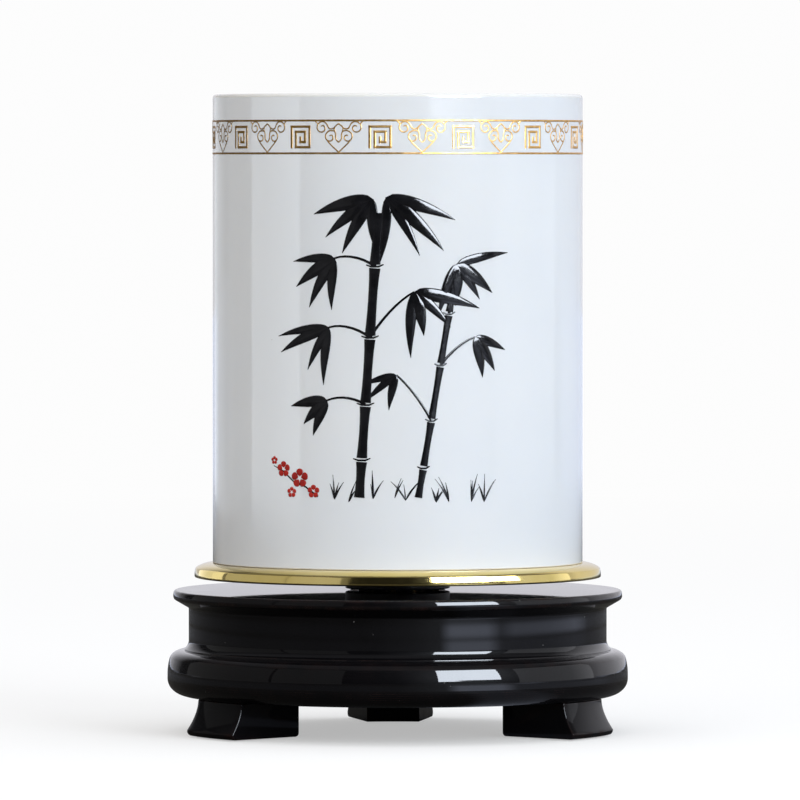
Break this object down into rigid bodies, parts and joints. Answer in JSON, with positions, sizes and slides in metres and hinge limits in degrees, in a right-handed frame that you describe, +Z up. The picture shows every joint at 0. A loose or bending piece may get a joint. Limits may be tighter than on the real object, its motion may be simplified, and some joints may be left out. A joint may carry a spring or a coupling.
{
  "type": "revolving brush pot",
  "caption": "Straight porcelain brush pot on a gold-plated tray that turns on a ball bearing in a black lacquered wooden stand with feet.",
  "frame": {"origin": "on the desk, under the middle of the stand", "axes": "+Z up along the turning axis; -Y is the front, towards the gap between the two front feet; +Y runs over the back foot"},
  "size_m": [0.119, 0.119, 0.1646],
  "materials": {
    "glazed_porcelain": "clear gloss glaze",
    "glue": "set epoxy",
    "gold_plate": "polished gold plate",
    "black_nylon": "moulded satin",
    "zinc_steel": "bright zinc",
    "bearing_steel": "ground and polished",
    "plain_brass": "turned",
    "white_nylon": "moulded satin",
    "black_lacquer": "high-gloss black lacquer on hardwood",
    "beech": "bare",
    "fired_gold": "fired gilding on the glaze",
    "black_enamel": "raised gloss enamel",
    "red_enamel": "raised gloss enamel",
    "black_felt": "wool felt"
  },
  "bodies": {
    "stand": {"stand": "black_lacquer", "lower_race": "bearing_steel", "pivot_bush": "white_nylon", "felt_cover": "black_felt", "foot_back": "black_lacquer", "foot_left": "black_lacquer", "foot_right": "black_lacquer", "dowel_back": "beech", "dowel_left": "beech", "dowel_right": "beech", "pad_back": "black_felt", "pad_left": "black_felt", "pad_right": "black_felt"},
    "pot": {"pot": "glazed_porcelain", "glue_bead": "glue", "tray": "gold_plate", "hub_cap": "black_nylon", "carriage_bolt": "zinc_steel", "spacer_tube": "plain_brass", "retaining_washer": "zinc_steel", "lock_nut": "zinc_steel", "lock_nut_insert": "white_nylon", "upper_race": "bearing_steel"},
    "cage": {"ball_cage": "plain_brass", "ball_1": "bearing_steel", "ball_2": "bearing_steel", "ball_3": "bearing_steel", "ball_4": "bearing_steel", "ball_5": "bearing_steel", "ball_6": "bearing_steel", "ball_7": "bearing_steel", "ball_8": "bearing_steel", "ball_9": "bearing_steel"}
  },
  "joints": [
    {"name": "pot_spin", "type": "hinge", "parent": "stand", "child": "pot", "pos_m": [0, 0, 0.0368], "axis": [0, 0, 1], "continuous": true},
    {"name": "cage_spin", "type": "hinge", "parent": "stand", "child": "cage", "pos_m": [0, 0, 0.036], "axis": [0, 0, 1], "continuous": true}
  ],
  "couplings": [
    {"joint": "cage_spin", "follows": "pot_spin", "ratio": 0.5}
  ]
}
